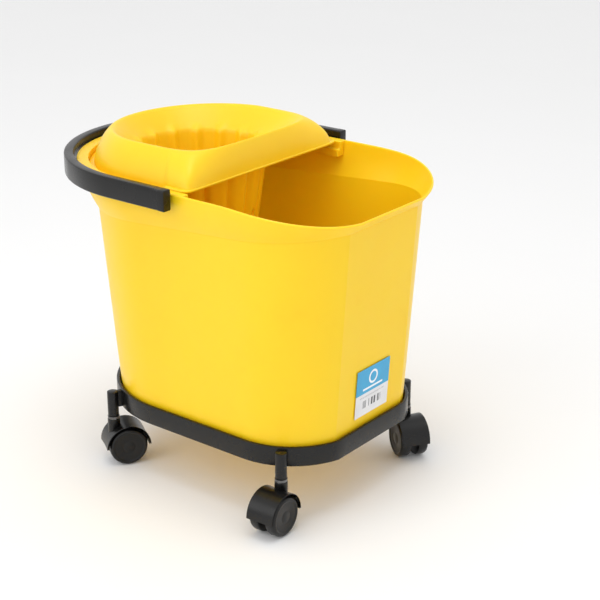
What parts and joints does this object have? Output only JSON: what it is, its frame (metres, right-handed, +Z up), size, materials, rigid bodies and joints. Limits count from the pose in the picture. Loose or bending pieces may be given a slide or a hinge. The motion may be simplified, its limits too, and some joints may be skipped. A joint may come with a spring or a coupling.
{
  "type": "mop bucket with wringer",
  "caption": "Oval mop bucket with a flat pouring end, drop-in cone wringer and bail handle, sitting in a dolly ring on swivel castors.",
  "frame": {"origin": "centre of the bounding box at floor level, under the castor wheels", "axes": "+X towards the flat pouring end, +Y across the bucket, +Z up"},
  "size_m": [0.3754, 0.2847, 0.35],
  "materials": {
    "yellow_plastic": "satin moulded",
    "black_plastic": "fine moulded texture",
    "wheel_plastic": "smooth moulded",
    "steel": "bright zinc plate",
    "spring_steel": "plain",
    "label_film": "printed film"
  },
  "bodies": {
    "dolly": {"dolly_frame": "black_plastic", "castor_front_left_grip_ring": "spring_steel", "castor_front_right_grip_ring": "spring_steel", "castor_rear_left_grip_ring": "spring_steel", "castor_rear_right_grip_ring": "spring_steel"},
    "bucket": {"bucket": "yellow_plastic", "label": "label_film"},
    "wringer": {"wringer": "yellow_plastic"},
    "handle": {"handle": "black_plastic"},
    "castor_front_left": {"castor_front_left_stem": "steel", "castor_front_left_housing": "black_plastic", "castor_front_left_axle": "steel"},
    "wheel_front_left_left": {"castor_front_left_wheel_left": "wheel_plastic"},
    "wheel_front_left_right": {"castor_front_left_wheel_right": "wheel_plastic"},
    "castor_front_right": {"castor_front_right_stem": "steel", "castor_front_right_housing": "black_plastic", "castor_front_right_axle": "steel"},
    "wheel_front_right_left": {"castor_front_right_wheel_left": "wheel_plastic"},
    "wheel_front_right_right": {"castor_front_right_wheel_right": "wheel_plastic"},
    "castor_rear_left": {"castor_rear_left_stem": "steel", "castor_rear_left_housing": "black_plastic", "castor_rear_left_axle": "steel"},
    "wheel_rear_left_left": {"castor_rear_left_wheel_left": "wheel_plastic"},
    "wheel_rear_left_right": {"castor_rear_left_wheel_right": "wheel_plastic"},
    "castor_rear_right": {"castor_rear_right_stem": "steel", "castor_rear_right_housing": "black_plastic", "castor_rear_right_axle": "steel"},
    "wheel_rear_right_left": {"castor_rear_right_wheel_left": "wheel_plastic"},
    "wheel_rear_right_right": {"castor_rear_right_wheel_right": "wheel_plastic"}
  },
  "joints": [
    {"name": "bucket_lift", "type": "slide", "parent": "dolly", "child": "bucket", "axis": [0, 0, 1], "range_m": [0, 0.06]},
    {"name": "wringer_lift", "type": "slide", "parent": "bucket", "child": "wringer", "axis": [0, 0, 1], "range_m": [0, 0.15]},
    {"name": "handle_pivot", "type": "hinge", "parent": "bucket", "child": "handle", "pos_m": [0.019, 0, 0.3134], "axis": [0, 1, 0], "range_deg": [0, 165]},
    {"name": "swivel_front_left", "type": "hinge", "parent": "dolly", "child": "castor_front_left", "pos_m": [0.136, 0.105, 0.05], "axis": [0, 0, 1], "continuous": true},
    {"name": "spin_front_left_left", "type": "hinge", "parent": "castor_front_left", "child": "wheel_front_left_left", "pos_m": [0.14595, 0.09829, 0.02], "axis": [-0.5592, -0.829, 0], "continuous": true},
    {"name": "spin_front_left_right", "type": "hinge", "parent": "castor_front_left", "child": "wheel_front_left_right", "pos_m": [0.14595, 0.09829, 0.02], "axis": [-0.5592, -0.829, 0], "continuous": true},
    {"name": "swivel_front_right", "type": "hinge", "parent": "dolly", "child": "castor_front_right", "pos_m": [0.136, -0.105, 0.05], "axis": [0, 0, 1], "continuous": true},
    {"name": "spin_front_right_left", "type": "hinge", "parent": "castor_front_right", "child": "wheel_front_right_left", "pos_m": [0.13642, -0.11699, 0.02], "axis": [-0.9994, -0.0349, 0], "continuous": true},
    {"name": "spin_front_right_right", "type": "hinge", "parent": "castor_front_right", "child": "wheel_front_right_right", "pos_m": [0.13642, -0.11699, 0.02], "axis": [-0.9994, -0.0349, 0], "continuous": true},
    {"name": "swivel_rear_left", "type": "hinge", "parent": "dolly", "child": "castor_rear_left", "pos_m": [-0.088, 0.105, 0.05], "axis": [0, 0, 1], "continuous": true},
    {"name": "spin_rear_left_left", "type": "hinge", "parent": "castor_rear_left", "child": "wheel_rear_left_left", "pos_m": [-0.0921, 0.11628, 0.02], "axis": [0.9397, 0.342, 0], "continuous": true},
    {"name": "spin_rear_left_right", "type": "hinge", "parent": "castor_rear_left", "child": "wheel_rear_left_right", "pos_m": [-0.0921, 0.11628, 0.02], "axis": [0.9397, 0.342, 0], "continuous": true},
    {"name": "swivel_rear_right", "type": "hinge", "parent": "dolly", "child": "castor_rear_right", "pos_m": [-0.088, -0.105, 0.05], "axis": [0, 0, 1], "continuous": true},
    {"name": "spin_rear_right_left", "type": "hinge", "parent": "castor_rear_right", "child": "wheel_rear_right_left", "pos_m": [-0.08164, -0.09482, 0.02], "axis": [0.848, -0.5299, 0], "continuous": true},
    {"name": "spin_rear_right_right", "type": "hinge", "parent": "castor_rear_right", "child": "wheel_rear_right_right", "pos_m": [-0.08164, -0.09482, 0.02], "axis": [0.848, -0.5299, 0], "continuous": true}
  ]
}
